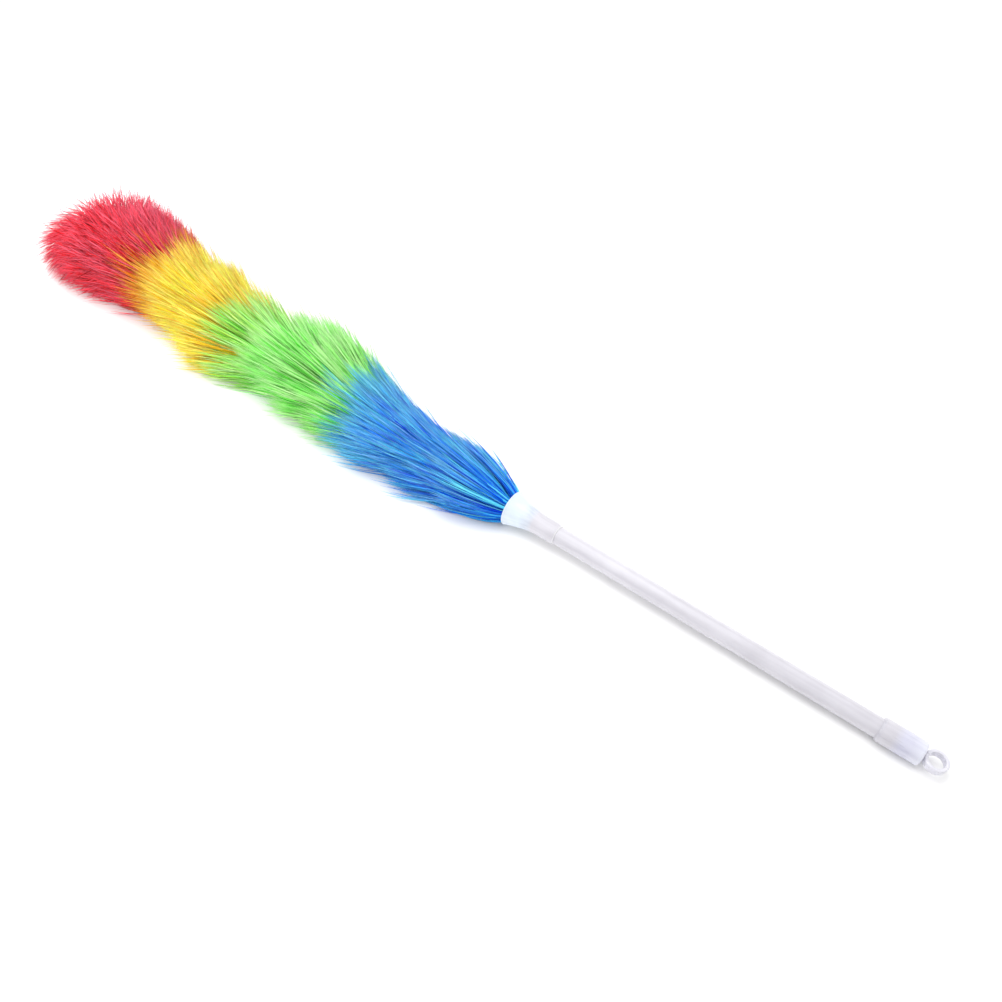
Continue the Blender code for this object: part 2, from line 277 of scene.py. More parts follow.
# Painted shade: the cap's lip is darker, to hide the lamp's highlight on its chamfer.
CAP_LIP_PAINTED_SHADE = ((0.50, 0.49, 0.55), (0.58, 0.57, 0.62))
RING_SHADES = ((0.78, 0.77, 0.86), (0.89, 0.88, 0.95))
COLLAR_SHADES = ((0.66, 0.74, 0.84), (0.75, 0.83, 0.92))
NECK_SHADES = ((0.48, 0.53, 0.62), (0.72, 0.76, 0.84))
# Painted light: the sleeve's end face is painted nearly white, as it faces away from the lamp.
SLEEVE_END_PAINTED_LIGHT = ((0.92, 0.91, 0.94), (0.97, 0.96, 0.98))
# Where the shades change: the stations between which they fade over.
# On the cap, the lip's base shades and the hollow zone are painted shade.
CAP_ZONES = (
    (CAP_START + 0.7 * MM, CAP_START + 1.7 * MM, TUBE_SHADES),
    (CAP_STOP - 2.0 * MM, CAP_STOP + 2.0 * MM, HOLLOW_PAINTED_SHADE),
    (CAP_END - 6.0 * MM, CAP_END - 1.0 * MM, END_SHADES),
)
# The last collar zone paints light on the sleeve's end face.
COLLAR_ZONES = (
    (9.0 * MM, 13.0 * MM, NECK_SHADES),
    (14.0 * MM, 17.0 * MM, TUBE_SHADES),
    (COLLAR_END - 0.35 * MM, COLLAR_END - 0.05 * MM, SLEEVE_END_PAINTED_LIGHT),
)
# How finely each pattern is drawn along the handle and across it.
DRAW_GRAIN = (4.0, 450.0, 450.0)
CLOUD_GRAIN = (60.0, 90.0, 90.0)
SCUFF_GRAIN = (120.0, 1400.0, 1400.0)

# ---------------------------------------------------------------- camera and light

CAMERA_AT = Vector((0.171, -0.230, 0.356))
CAMERA_AZIMUTH, CAMERA_TILT, CAMERA_ROLL = (math.radians(angle) for angle in (37.8, 50.7, -0.65))
CAMERA_LENS, CAMERA_SENSOR = 30.25, 36.0
ROOM_LIGHT = 0.76
SOFTBOX_SIZE, SOFTBOX_POWER, SOFTBOX_AT = 1.0, 8.4, (-0.11, 0.10, 0.95)
FILL_SIZE, FILL_POWER, FILL_SPREAD = 0.50, 0.60, 70
FILL_AT, FILL_AIM = (-0.50, -0.50, 0.40), (-0.25, 0.0, 0.02)
FLOOR_REACH, FLOOR_WHITE = 20.0, 0.93

# ---------------------------------------------------------------- helpers


def new_object(name, mesh, body="duster"):
    """An object in the scene that rides on a body."""
    ob = bpy.data.objects.new(name, mesh)
    bpy.context.scene.collection.objects.link(ob)
    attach(ob, body)
    return ob


def mesh_from_arrays(name, points, quads, tris):
    """A mesh from numpy arrays of corners, four-sided faces and three-sided faces."""
    mesh = bpy.data.meshes.new(name)
    mesh.vertices.add(len(points))
    mesh.vertices.foreach_set("co", points.astype(np.float32).ravel())
    loops = np.concatenate([quads.ravel(), tris.ravel()]).astype(np.int32)
    sizes = np.concatenate([np.full(len(quads), 4), np.full(len(tris), 3)])
    starts = np.concatenate([[0], np.cumsum(sizes)[:-1]]).astype(np.int32)
    mesh.loops.add(len(loops))
    mesh.loops.foreach_set("vertex_index", loops)
    mesh.polygons.add(len(sizes))
    mesh.polygons.foreach_set("loop_start", starts)
    mesh.update(calc_edges=True)
    mesh.validate()
    return mesh


def handle_points(radius, station, angle):
    """Points round the handle's line, given by radius, station and angle."""
    up = (radius * np.cos(angle))[..., None] * UP
    side = (radius * np.sin(angle))[..., None] * SIDE
    return MOUTH + station[..., None] * AXIS + up + side


def fillet(points, radii, steps=5):
    """A closed outline with its corners rounded."""
    out = []
    count = len(points)
    for i in range(count):
        here = np.array(points[i])
        if not radii[i]:
            out.append(here)
            continue
        back = np.array(points[i - 1]) - here
        ahead = np.array(points[(i + 1) % count]) - here
        back /= np.linalg.norm(back)
        ahead /= np.linalg.norm(ahead)
        half = math.acos(np.clip(back @ ahead, -1, 1)) / 2
        reach = radii[i] / math.tan(half)
        for k in range(steps + 1):
            share = k / steps
            first = here + back * reach * (1 - share)
            second = here + ahead * reach * share
            out.append(first * (1 - share) + second * share)
    return np.array(out)


def lathe(name, outline, segments=96, shape=None, origin=None, frame_axes=None):
    """A closed solid of revolution from a closed (radius, height) outline, running down its outer side."""
    outline = np.asarray(outline, float)
    rows = len(outline)
    angle = np.arange(segments) / segments * math.tau
    radius = np.repeat(outline[:, 0][:, None], segments, 1)
    height = np.repeat(outline[:, 1][:, None], segments, 1)
    turn = np.repeat(angle[None, :], rows, 0)
    if shape is not None:
        radius = shape(radius, height, turn)
    if origin is None:
        points = handle_points(radius, height, turn)
    else:
        first, second, third = frame_axes
        points = origin + (radius * np.cos(turn))[..., None] * first
        points = points + (radius * np.sin(turn))[..., None] * second + height[..., None] * third
    row, col = np.meshgrid(np.arange(rows), np.arange(segments), indexing="ij")
    next_row, next_col = (row + 1) % rows, (col + 1) % segments
    quads = np.stack(
        [
            row * segments + col,
            next_row * segments + col,
            next_row * segments + next_col,
            row * segments + next_col,
        ],
        -1,
    ).reshape(-1, 4)
    mesh = mesh_from_arrays(name, points.reshape(-1, 3), quads, np.zeros((0, 3), int))
    mesh.shade_smooth()
    mesh.set_sharp_from_angle(angle=math.radians(40))
    return mesh


# ---------------------------------------------------------------- materials


def node(tree, kind, **values):
    """A shader node with settings and input values."""
    made = tree.nodes.new(kind)
    for key, value in values.items():
        if hasattr(made, key):
            setattr(made, key, value)
        else:
            made.inputs[key.replace("_", " ")].default_value = value
    return made


def new_material(name):
    """A material, its tree and its Principled shader."""
    material = bpy.data.materials.new(name)
    material.use_nodes = True
    return material, material.node_tree, material.node_tree.nodes["Principled BSDF"]


def place(tree, stretch):
    """Coordinates of the duster's frame, scaled along each axis."""
    coords = node(tree, "ShaderNodeTexCoord")
    mapping = node(tree, "ShaderNodeMapping")
    mapping.inputs["Scale"].default_value = stretch
    tree.links.new(coords.outputs["Object"], mapping.inputs["Vector"])
    return mapping.outputs["Vector"]


def noise(tree, vector, scale, detail=4.0, rough=0.5):
    """A noise texture's value."""
    made = node(tree, "ShaderNodeTexNoise")
    made.inputs["Scale"].default_value = scale
    made.inputs["Detail"].default_value = detail
    made.inputs["Roughness"].default_value = rough
    tree.links.new(vector, made.inputs["Vector"])
    return made.outputs["Fac"]


def spread(tree, value, low, high, from_low=0.3, from_high=0.7):
    """A value's range moved to low and high."""
    made = node(tree, "ShaderNodeMapRange")
    for key, number in (
        ("From Min", from_low),
        ("From Max", from_high),
        ("To Min", low),
        ("To Max", high),
    ):
        made.inputs[key].default_value = number
    tree.links.new(value, made.inputs["Value"])
    return made.outputs["Result"]


def ramp(tree, value, *stops):
    """A colour ramp over a value: stops of (place, colour)."""
    made = node(tree, "ShaderNodeValToRGB")
    elements = made.color_ramp.elements
    while len(elements) < len(stops):
        elements.new(0.5)
    for element, (at, colour) in zip(elements, stops):
        element.position = at
        element.color = (*colour, 1.0)
    tree.links.new(value, made.inputs["Fac"])
    return made.outputs["Color"]


def bump(tree, height, strength, distance):
    """A bump normal."""
    made = node(tree, "ShaderNodeBump")
    made.inputs["Strength"].default_value = strength
    made.inputs["Distance"].default_value = distance
    tree.links.new(height, made.inputs["Height"])
    return made.outputs["Normal"]


def along_handle(tree, start, end):
    """From 0 at one station of the handle to 1 at another."""
    coords = node(tree, "ShaderNodeTexCoord")
    parts = node(tree, "ShaderNodeSeparateXYZ")
    tree.links.new(coords.outputs["Object"], parts.inputs["Vector"])
    return spread(tree, parts.outputs["X"], 0.0, 1.0, MOUTH[0] + start, MOUTH[0] + end)


def blend(tree, factor, first, second):
    """A mix of two colours, given as sockets."""
    mix = node(tree, "ShaderNodeMix", data_type="RGBA")
    tree.links.new(factor, mix.inputs["Factor"])
    tree.links.new(first, mix.inputs["A"])
    tree.links.new(second, mix.inputs["B"])
    return mix.outputs["Result"]


def frosted_plastic(name, shades, clear, rough, zones=()):
    """Milky plastic with draw lines along the handle, faint clouding and fine scratches.

    A zone is (start, end, shades): from its start to its end the plastic fades over to other shades.
    """
    material, tree, shader = new_material(name)
    lines = noise(tree, place(tree, DRAW_GRAIN), 1.0, 4.0)
    cloud = noise(tree, place(tree, CLOUD_GRAIN), 1.0, 4.0)
    both = node(tree, "ShaderNodeMath", operation="ADD")
    tree.links.new(spread(tree, lines, 0.0, 0.55), both.inputs[0])
    tree.links.new(spread(tree, cloud, 0.0, 0.45), both.inputs[1])
    colour = ramp(tree, both.outputs[0], (0.15, shades[0]), (0.85, shades[1]))
    for start, end, (dark, light) in zones:
        other = ramp(tree, both.outputs[0], (0.15, dark), (0.85, light))
        colour = blend(tree, along_handle(tree, start, end), colour, other)
    tree.links.new(colour, shader.inputs["Base Color"])
    scuffs = noise(tree, place(tree, SCUFF_GRAIN), 1.0, 5.0, 0.7)
    tree.links.new(spread(tree, scuffs, rough - 0.07, rough + 0.10), shader.inputs["Roughness"])
    tree.links.new(bump(tree, lines, 0.20, 0.05 * MM), shader.inputs["Normal"])
    shader.inputs["Transmission Weight"].default_value = clear
    shader.inputs["Subsurface Weight"].default_value = 0.35
    shader.inputs["Subsurface Radius"].default_value = (1.0, 1.0, 1.0)
    shader.inputs["Subsurface Scale"].default_value = 2.5 * MM
    shader.inputs["IOR"].default_value = 1.49
    return material


def steel():
    """Galvanised wire: grey with brighter patches and a fine drawn grain."""
    material, tree, shader = new_material("galvanised_steel")
    patches = noise(tree, place(tree, (300.0, 300.0, 300.0)), 1.0, 5.0)
    tree.links.new(
        ramp(tree, patches, (0.35, (0.30, 0.30, 0.32)), (0.7, (0.62, 0.62, 0.64))),
        shader.inputs["Base Color"],
    )
    tree.links.new(spread(tree, patches, 0.30, 0.5), shader.inputs["Roughness"])
    shader.inputs["Metallic"].default_value = 1.0
    return material


def hidden_plastic():
    """Grey moulded plastic for the pieces inside."""
    material, tree, shader = new_material("moulded_grey")
    grain = noise(tree, place(tree, (700.0, 700.0, 700.0)), 1.0, 4.0)
    tree.links.new(
        ramp(tree, grain, (0.3, (0.60, 0.60, 0.64)), (0.7, (0.78, 0.78, 0.82))),
        shader.inputs["Base Color"],
    )
    tree.links.new(spread(tree, grain, 0.40, 0.55), shader.inputs["Roughness"])
    tree.links.new(bump(tree, grain, 0.2, 0.05 * MM), shader.inputs["Normal"])
    return material


def filament_plastic(colour):
    """Split film: each filament's tint, which carries painted highlight and painted shade, finely mottled,
    with a satin gloss that varies along it.
    """
    material, tree, shader = new_material(f"{colour}_film")
    tint = node(tree, "ShaderNodeAttribute", attribute_name="tint")
    mottle = noise(tree, place(tree, (500.0, 500.0, 500.0)), 1.0, 3.0)
    mix = node(tree, "ShaderNodeMix", data_type="RGBA", blend_type="MULTIPLY")
    mix.inputs["Factor"].default_value = 1.0
    tree.links.new(tint.outputs["Color"], mix.inputs["A"])
    tree.links.new(
        ramp(tree, mottle, (0.3, (0.88, 0.88, 0.88)), (0.7, (1.0, 1.0, 1.0))), mix.inputs["B"]
    )
    tree.links.new(mix.outputs["Result"], shader.inputs["Base Color"])
    tree.links.new(spread(tree, mottle, 0.32, 0.50), shader.inputs["Roughness"])
    shader.inputs["Specular IOR Level"].default_value = 0.10
    return material


# ---------------------------------------------------------------- handle pieces


def flare_radius(station):
    """The collar's outer radius."""
    share = np.clip(1.0 - station / FLARE_LENGTH, 0.0, 1.0) ** FLARE_POWER
    return SLEEVE_R + (MOUTH_R - SLEEVE_R) * share


def collar_outline():
    """Down the sleeve and flare, round the beaded rim, back up the funnel, throat and bore."""
    stations = np.linspace(FLARE_LENGTH, 0.9 * MM, 30)
    lip = [(SLEEVE_R - 0.35 * MM, COLLAR_END), (SLEEVE_R, COLLAR_END - 2.0 * MM)]
    outer = lip + [(float(flare_radius(s)), s) for s in stations]
    rim_at = (MOUTH_R - 0.55 * MM, RIM_R)
    rim = []
    for k in range(9):
        turn = math.radians(20) - math.radians(200) * k / 8
        rim.append((rim_at[0] + RIM_R * math.cos(turn), rim_at[1] + RIM_R * math.sin(turn)))
    bore = MOUTH_R - COLLAR_WALL - 0.05 * MM
    funnel_start = 0.6 * MM
    inner = []
    for k in range(1, 13):
        share = k / 12
        radius = THROAT_R + (bore - THROAT_R) * (1.0 - share) ** FLARE_POWER
        inner.append((radius, funnel_start + (THROAT_START - funnel_start) * share))
    inner += [(THROAT_R, SHOULDER), (SNUG_R, SHOULDER), (SNUG_R, COLLAR_END)]
    return np.array(outer + rim + inner)


def build_collar(material):
    """The trumpet-shaped collar."""
    ob = new_object("collar_trumpet", lathe("collar_trumpet", collar_outline(), 128))
    ob.data.materials.append(material)
    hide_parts("collar")


def draw_lines(radius, height, turn):
    """Faint ridges that the tube's die leaves along it."""
    lines = np.cos(3 * turn + 0.4) + 0.7 * np.cos(11 * turn + 1.9) + 0.5 * np.cos(29 * turn)
    ridge = 0.007 * MM
    return radius + ridge * lines


def build_tube(material):
    """The handle's tube, cut square and lightly deburred."""
    outer = TUBE_R - 0.03 * MM
    corners = [
        (outer, TUBE_END),
        (outer, TUBE_START),
        (TUBE_BORE_R, TUBE_START),
        (TUBE_BORE_R, TUBE_END),
    ]
    outline = fillet(corners, [0.2 * MM] * 4, 4)
    ob = new_object("tube_shell", lathe("tube_shell", outline, 160, draw_lines))
    ob.data.materials.append(material)
    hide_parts("handle_tube")


def build_cap(material):
    """The end cap with its chamfered end, softened lip and inner stop."""
    corners = [
        (CAP_HOLE_R, CAP_END),
        (CAP_R - 0.8 * MM, CAP_END),
        (CAP_R, CAP_END - 0.8 * MM),
        (CAP_R, CAP_START + 1.2 * MM),
        (CAP_R - 0.5 * MM, CAP_START),
        (SNUG_R, CAP_START),
        (SNUG_R, CAP_STOP),
        (CAP_HOLLOW_R, CAP_STOP),
        (CAP_HOLLOW_R, CAP_END - CAP_WALL),
        (CAP_HOLE_R, CAP_END - CAP_WALL),
    ]
    rounds = [0.15, 0.35, 0.6, 0.5, 0.1, 0.1, 0.1, 0.2, 0.5, 0.15]
    outline = fillet(corners, [r * MM for r in rounds], 5)
    ob = new_object("cap_shell", lathe("cap_shell", outline, 128))
    ob.data.materials.append(material)
    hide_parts("end_cap")


def build_ring(material):
    """The hanging ring with its shank and snap head, in one piece."""
    half = RING_THICK / 2
    corners = [(RING_HOLE_R, half), (RING_R, half), (RING_R, -half), (RING_HOLE_R, -half)]
    band = fillet(corners, [0.45 * MM] * 4, 6)
    centre = MOUTH + AXIS * (CAP_END + RING_GAP + RING_R)
    band_mesh = lathe("hanging_ring", band, 96, None, centre, (SIDE, -AXIS, UP))
    ring = new_object("hanging_ring", band_mesh, "hanger")
    top = CAP_END + RING_GAP + 1.2 * MM
    seat = CAP_END - CAP_WALL - 0.4 * MM
    snap_end = seat - 2.6 * MM
    corners = [
        (TINY, top),
        (SHANK_R, top),
        (SHANK_R, seat),
        (SNAP_R, seat),
        (SNAP_R, seat - 0.6 * MM),
        (1.5 * MM, snap_end),
        (TINY, snap_end),
    ]
    rounds = [0.0, 0.1, 0.15, 0.15, 0.15, 0.3, 0.0]
    outline = fillet(corners, [r * MM for r in rounds], 4)
    shank = bpy.data.objects.new("shank", lathe("shank", outline, 64))
    bpy.context.scene.collection.objects.link(shank)
    join = ring.modifiers.new("join", "BOOLEAN")
    join.object = shank
    join.operation = "UNION"
    join.solver = "EXACT"
    bpy.context.view_layer.update()
    graph = bpy.context.evaluated_depsgraph_get()
    joined = bpy.data.meshes.new_from_object(ring.evaluated_get(graph))
    ring.modifiers.clear()
    ring.data = joined
    bpy.data.objects.remove(shank, do_unlink=True)
    joined.shade_smooth()
    joined.set_sharp_from_angle(angle=math.radians(40))
    joined.materials.clear()
    joined.materials.append(material)
    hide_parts("hang_ring")


def build_bush(material):
    """The sleeve that holds the wire's tail in the tube."""
    corners = [
        (BUSH_R, BUSH_END),
        (BUSH_R, BUSH_START),
        (BUSH_BORE_R, BUSH_START),
        (BUSH_BORE_R, BUSH_END),
    ]
    ob = new_object("wire_sleeve", lathe("wire_sleeve", fillet(corners, [0.4 * MM] * 4, 4), 64))
    ob.data.materials.append(material)
    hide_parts("wire_bush")


# ---------------------------------------------------------------- wire core


def wire_point(depth):
    """Points on the core's middle line at depths in front of the collar's mouth."""
    share = np.clip(depth, 0.0, None) / WIRE_FREE
    point = MOUTH - depth[..., None] * AXIS
    point[..., 1] += WIRE_DRIFT_Y * share**WIRE_DRIFT_POWER
    point[..., 2] += WIRE_LIFT_Z * share**2
    return point


def wire_axes(depth):
    """Two directions across the core, and the one along it towards the tip."""
    step = 0.5 * MM
    along = wire_point(depth + step) - wire_point(depth - step)
    along /= np.linalg.norm(along, axis=-1, keepdims=True)
    across = np.cross(along, np.array([0.0, 0.0, 1.0]))
    across /= np.linalg.norm(across, axis=-1, keepdims=True)
    return np.cross(across, along), across, along


def round_wire(depth, radius, angle):
    """Points round the core, given by depth, radius and angle from the upper side."""
    up, across, _ = wire_axes(depth)
    out = np.cos(angle)[..., None] * up + np.sin(angle)[..., None] * across
    return wire_point(depth) + radius[..., None] * out


def build_strand(name, cad_node, phase, material):
    """One strand of the twisted core."""
    length = WIRE_TAIL + WIRE_FREE
    rows, sides = round(length / TWIST_PITCH * POINTS_PER_TURN), STRAND_SIDES
    depth = np.linspace(-WIRE_TAIL, WIRE_FREE, rows + 1)
    turn = math.tau * depth / TWIST_PITCH + phase
    middle = round_wire(depth, np.full(rows + 1, STRAND_OFFSET), turn)
    along = np.gradient(middle, axis=0)
    along /= np.linalg.norm(along, axis=1, keepdims=True)
    first = middle - wire_point(depth)
    first /= np.linalg.norm(first, axis=1, keepdims=True)
    second = np.cross(along, first)
    around = np.arange(sides) / sides * math.tau
    points = middle[:, None] + STRAND_R * (
        np.cos(around)[None, :, None] * first[:, None] + np.sin(around)[None, :, None] * second[:, None]
    )
    row, col = np.meshgrid(np.arange(rows), np.arange(sides), indexing="ij")
    nxt = (col + 1) % sides
    quads = np.stack(
        [row * sides + col, row * sides + nxt, (row + 1) * sides + nxt, (row + 1) * sides + col], -1
    ).reshape(-1, 4)
    ring = np.arange(sides)
    last = rows * sides
    start_fan = np.stack([np.full(sides - 2, 0), ring[2:], ring[1:-1]], -1)
    end_fan = np.stack([np.full(sides - 2, last), last + ring[1:-1], last + ring[2:]], -1)
    mesh = mesh_from_arrays(name, points.reshape(-1, 3), quads, np.concatenate([start_fan, end_fan]))
    mesh.shade_smooth()
    mesh.set_sharp_from_angle(angle=math.radians(50))
    ob = new_object(name, mesh)
    ob.data.materials.append(material)
    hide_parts(cad_node)


def build_tip_cap(material):
    """The moulded cap on the wire's cut end."""
    depth = np.array([WIRE_FREE])
    up, across, along = (a[0] for a in wire_axes(depth))
    origin = wire_point(depth)[0]
    dome = []
    for k in range(13):
        turn = math.pi / 2 * (1 - k / 12)
        radius = max(TINY, TIP_CAP_R * math.cos(turn))
        dome.append((radius, TIP_CAP_FLOOR + TIP_CAP_R * math.sin(turn)))
    skirt = [
        (TIP_CAP_R, -TIP_CAP_SKIRT),
        (TIP_CAP_BORE_R, -TIP_CAP_SKIRT),
        (TIP_CAP_BORE_R, TIP_CAP_FLOOR),
        (TINY, TIP_CAP_FLOOR),
    ]
    mesh = lathe("wire_tip_cap", dome + skirt, 48, None, origin, (up, across, along))
    ob = new_object("wire_tip_cap", mesh)
    ob.data.materials.append(material)
    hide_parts("tip_cap")


# ---------------------------------------------------------------- filaments


def brush_radius(depth, angle):
    """The brush's outline at a depth and an angle."""
    far = np.interp(depth, BRUSH_SIDES[:, 0], BRUSH_SIDES[:, 1])
    near = np.interp(depth, BRUSH_SIDES[:, 0], BRUSH_SIDES[:, 2])
    return (far + near) / 2 + (far - near) / 2 * np.cos(angle - FAR_ANGLE)


def near_side(angle):
    """From 0 on the brush's far upper side to 1 on its near lower side."""
    return 0.5 - 0.5 * np.cos(angle - FAR_ANGLE)


def lay_on_ground(points):
    """Presses what would be under the ground flat on it, in thin layers."""
    soft = GROUND_SOFT - GROUND_GAP
    low = points[..., 2] < GROUND_SOFT
    pressed = GROUND_GAP + soft * np.exp((points[..., 2] - GROUND_SOFT) / soft)
    points[..., 2] = np.where(low, pressed, points[..., 2])
    return points


def tufts(rng, colour, start, end):
    """Where each filament's root and tip are, in tufts that make up larger clumps."""
    band = BANDS[colour]
    count = band.count
    clumps = count // CLUMP_SIZE
    small = count // TUFT_SIZE
    previous = list(BANDS).index(colour) - 1
    before = list(BANDS.values())[previous] if previous >= 0 else None
    start_near, start_far = (before.near_end, before.far_end) if before else (0.0, 0.0)
    clump_angle = rng.uniform(0, math.tau, clumps)
    nearness = near_side(clump_angle)
    first = start + (start_far + (start_near - start_far) * nearness) * MM
    last = end + (band.far_end + (band.near_end - band.far_end) * nearness) * MM
    clump_depth = first + (last - first) * rng.random(clumps)
    overruns = rng.random(clumps) < band.overrun_share
    clump_depth += np.where(overruns, rng.uniform(0.0, band.overrun, clumps) * MM, 0.0)
    clump_reach = rng.normal(1.0, CLUMP_REACH, clumps)
    clump_shift = rng.normal(0.0, CLUMP_SHIFT, clumps)
    is_thin = rng.random(clumps) < band.thin
    thin_full = rng.uniform(*THIN_FULL, clumps)
    clump_full = np.where(is_thin, thin_full, rng.normal(USUAL_FULL, band.uneven, clumps))
    of_clump = rng.integers(0, clumps, small)
    tuft_depth = clump_depth[of_clump] + rng.normal(0, TUFT_DEPTH, small)
    tuft_angle = clump_angle[of_clump] + rng.normal(0, TUFT_ANGLE, small)
    apart = rng.random(small) < LOOSE_TUFTS
    tuft_angle = np.where(apart, tuft_angle + rng.uniform(-LOOSE_ANGLE, LOOSE_ANGLE, small), tuft_angle)
    tuft_reach = clump_reach[of_clump] + rng.normal(0, TUFT_REACH, small)
    tuft_full = clump_full[of_clump] * rng.normal(1.0, TUFT_FULL, small)
    tuft_shift = clump_shift[of_clump] + rng.normal(0, TUFT_SHIFT, small)
    of_tuft = rng.integers(0, small, count)
    root = tuft_depth[of_tuft] + rng.normal(0, FILAMENT_DEPTH, count)
    lean = np.interp(root, LEANS[:, 0], LEANS[:, 1])
    if colour == "red":
        lean = lean + NEAR_LEAN * near_side(tuft_angle[of_tuft]) ** 2
    tip = root + lean * (tuft_reach[of_tuft] + rng.normal(0, FILAMENT_REACH, count))
    angle = tuft_angle[of_tuft] + rng.normal(0, FILAMENT_ANGLE, count)
    tip_angle = tuft_angle[of_tuft] + tuft_shift[of_tuft] + rng.normal(0, band.loose, count)
    full = tuft_full[of_tuft] * rng.normal(1.0, FILAMENT_FULL, count)
    full = np.where(rng.random(count) < STICK_OUT, full * rng.uniform(1.0, STICK_OUT_MOST, count), full)
    near_long = near_side(tip_angle) * rng.uniform(0.0, NEAR_STICK_OUT, count)
    full = np.where(rng.random(count) < STICK_OUT, full * (1 + near_long), full)
    return root, tip, angle, tip_angle, np.clip(full, *FULL_LIMITS), of_tuft


def fan_out(rng, root, tip, tip_angle, radius):
    """Spreads the last filaments over a dome at the wire's end."""
    last = root > FAN_START
    count = last.sum()
    polar = np.arccos(rng.uniform(math.cos(FAN_ANGLE), 1.0, count))
    polar = np.where(rng.random(count) < FAN_MIDDLE_SHARE, polar * FAN_MIDDLE_ANGLE, polar)
    length = FAN_LENGTH * np.clip(rng.normal(1.0, FAN_SPREAD, count), *FAN_LIMITS)
    tip[last] = root[last] + length * np.cos(polar)
    turn = tip_angle[last] - FAR_ANGLE
    length = length * (1 - FAN_TRIM * np.clip(np.cos(turn), 0, 1) * np.sin(polar))
    far = length * (np.sin(polar) * np.cos(turn) - np.cos(polar) * math.tan(FAN_TILT))
    side = length * np.sin(polar) * np.sin(turn)
    radius[last] = np.hypot(far, side)
    tip_angle[last] = FAR_ANGLE + np.arctan2(side, far)
    return tip, tip_angle, radius


def centre_lines(rng, root, tip, root_angle, tip_angle, radius, band):
    """Each filament's middle line: it leaves the wire steeply and bends towards the tip."""
    count = len(root)
    stray = rng.random(count) < band.stray
    bow = rng.normal(0.0, band.bow, count) + stray * rng.normal(0.0, STRAY_BOW, count)
    bend_depth = root + (tip - root) * rng.uniform(*BEND_SHARES, count)
    rise = np.where(root < COLLAR_ROOTS, COLLAR_BEND_RISE, BEND_RISE)
    bend_r = ROOT_R + (radius - ROOT_R) * (rise + rng.normal(0, BEND_RISE_SPREAD, count))
    start = round_wire(root, np.full(count, ROOT_R), root_angle)
    bend_angle = (root_angle * BEND_OF_ROOT + tip_angle * BEND_OF_TIP) + bow
    middle = round_wire(bend_depth, bend_r, bend_angle)
    end = round_wire(np.minimum(tip, WIRE_FREE), radius, tip_angle)
    beyond = np.clip(tip - WIRE_FREE, 0, None)
    _, _, along = wire_axes(np.full(count, WIRE_FREE))
    end = end + beyond[:, None] * along
    end[stray] += rng.normal(0, STRAY_JITTER, (stray.sum(), 3))
    share = np.linspace(0, 1, CURVE_POINTS)[None, :, None]
    line = (1 - share) ** 2 * start[:, None] + 2 * share * (1 - share) * middle[:, None]
    return line + share**2 * end[:, None]


def keep_in_funnel(line):
    """Holds what is still inside the collar clear of its wall."""
    offset = line - MOUTH
    station = offset @ AXIS
    across = offset - station[..., None] * AXIS
    radius = np.linalg.norm(across, axis=-1)
    inside = np.clip(station / THROAT_START, 0.0, 1.0)
    bore = THROAT_R + (MOUTH_R - COLLAR_WALL - THROAT_R) * (1.0 - inside) ** FLARE_POWER
    limit = np.where(station > -FUNNEL_GAP, bore - FUNNEL_GAP, np.inf)
    scale = np.minimum(1.0, limit / np.maximum(radius, 1e-6))
    return MOUTH + station[..., None] * AXIS + across * scale[..., None]


def ribbons(rng, line):
    """Thin closed ribbons on the middle lines: three sides, tapering to a point."""
    count, rows = line.shape[:2]
    along = np.gradient(line, axis=1)
    along /= np.linalg.norm(along, axis=2, keepdims=True)
    spin = rng.normal(0, 1, (count, 1, 3))
    first = np.cross(along, spin)
    first /= np.linalg.norm(first, axis=2, keepdims=True)
    second = np.cross(along, first)
    wide = rng.uniform(*HALF_WIDTHS, count)[:, None, None] * MM
    thick = wide * FLATNESS
    taper = np.interp(np.linspace(0, 1, rows), TAPER_AT, TAPER)[None, :, None]
    corners = []
    for turn in (0, math.tau / 3, 2 * math.tau / 3):
        across = wide * math.cos(turn) * first + thick * math.sin(turn) * second
        corners.append(line + taper * across)
    body = np.stack(corners, 2)[:, :-1]
    tip = line[:, -1:]
    return np.concatenate([body.reshape(count, -1, 3), tip], 1)


def ribbon_faces(count, rows):
    """The faces of all ribbons: sides, pointed end and root."""
    each = 3 * (rows - 1) + 1
    quads, tris = [], [(2, 1, 0)]
    for r in range(rows - 2):
        for k in range(3):
            a, b = 3 * r + k, 3 * r + (k + 1) % 3
            quads.append((a, b, b + 3, a + 3))
    last = 3 * (rows - 2)
    tris += [(last + k, last + (k + 1) % 3, each - 1) for k in range(3)]
    shift = np.arange(count)[:, None, None] * each
    return (np.array(quads)[None] + shift).reshape(-1, 4), (np.array(tris)[None] + shift).reshape(-1, 3)


def strip_map(mesh, count, rows):
    """A UV map that gives each filament a strip of its own, so that its colours can be baked."""
    each = 3 * (rows - 1) + 1
    lanes = math.ceil(count / STRIP_COLUMNS)
    index = np.arange(count * each)
    ribbon, corner = index // each, index % each
    row = np.minimum(corner // 3, rows - 1)
    side = np.where(corner == each - 1, 1, corner % 3)
    across = ribbon % STRIP_COLUMNS + STRIP_MARGIN + STRIP_LENGTH * row / (rows - 1)
    across = across / STRIP_COLUMNS
    up = (ribbon // STRIP_COLUMNS + LANE_MARGIN + LANE_STEP * side) / lanes
    corners = np.empty(len(mesh.loops), np.int32)
    mesh.loops.foreach_get("vertex_index", corners)
    layer = mesh.uv_layers.new(name="OFBake")
    layer.uv.foreach_set("vector", np.stack([across, up], -1)[corners].astype(np.float32).ravel())


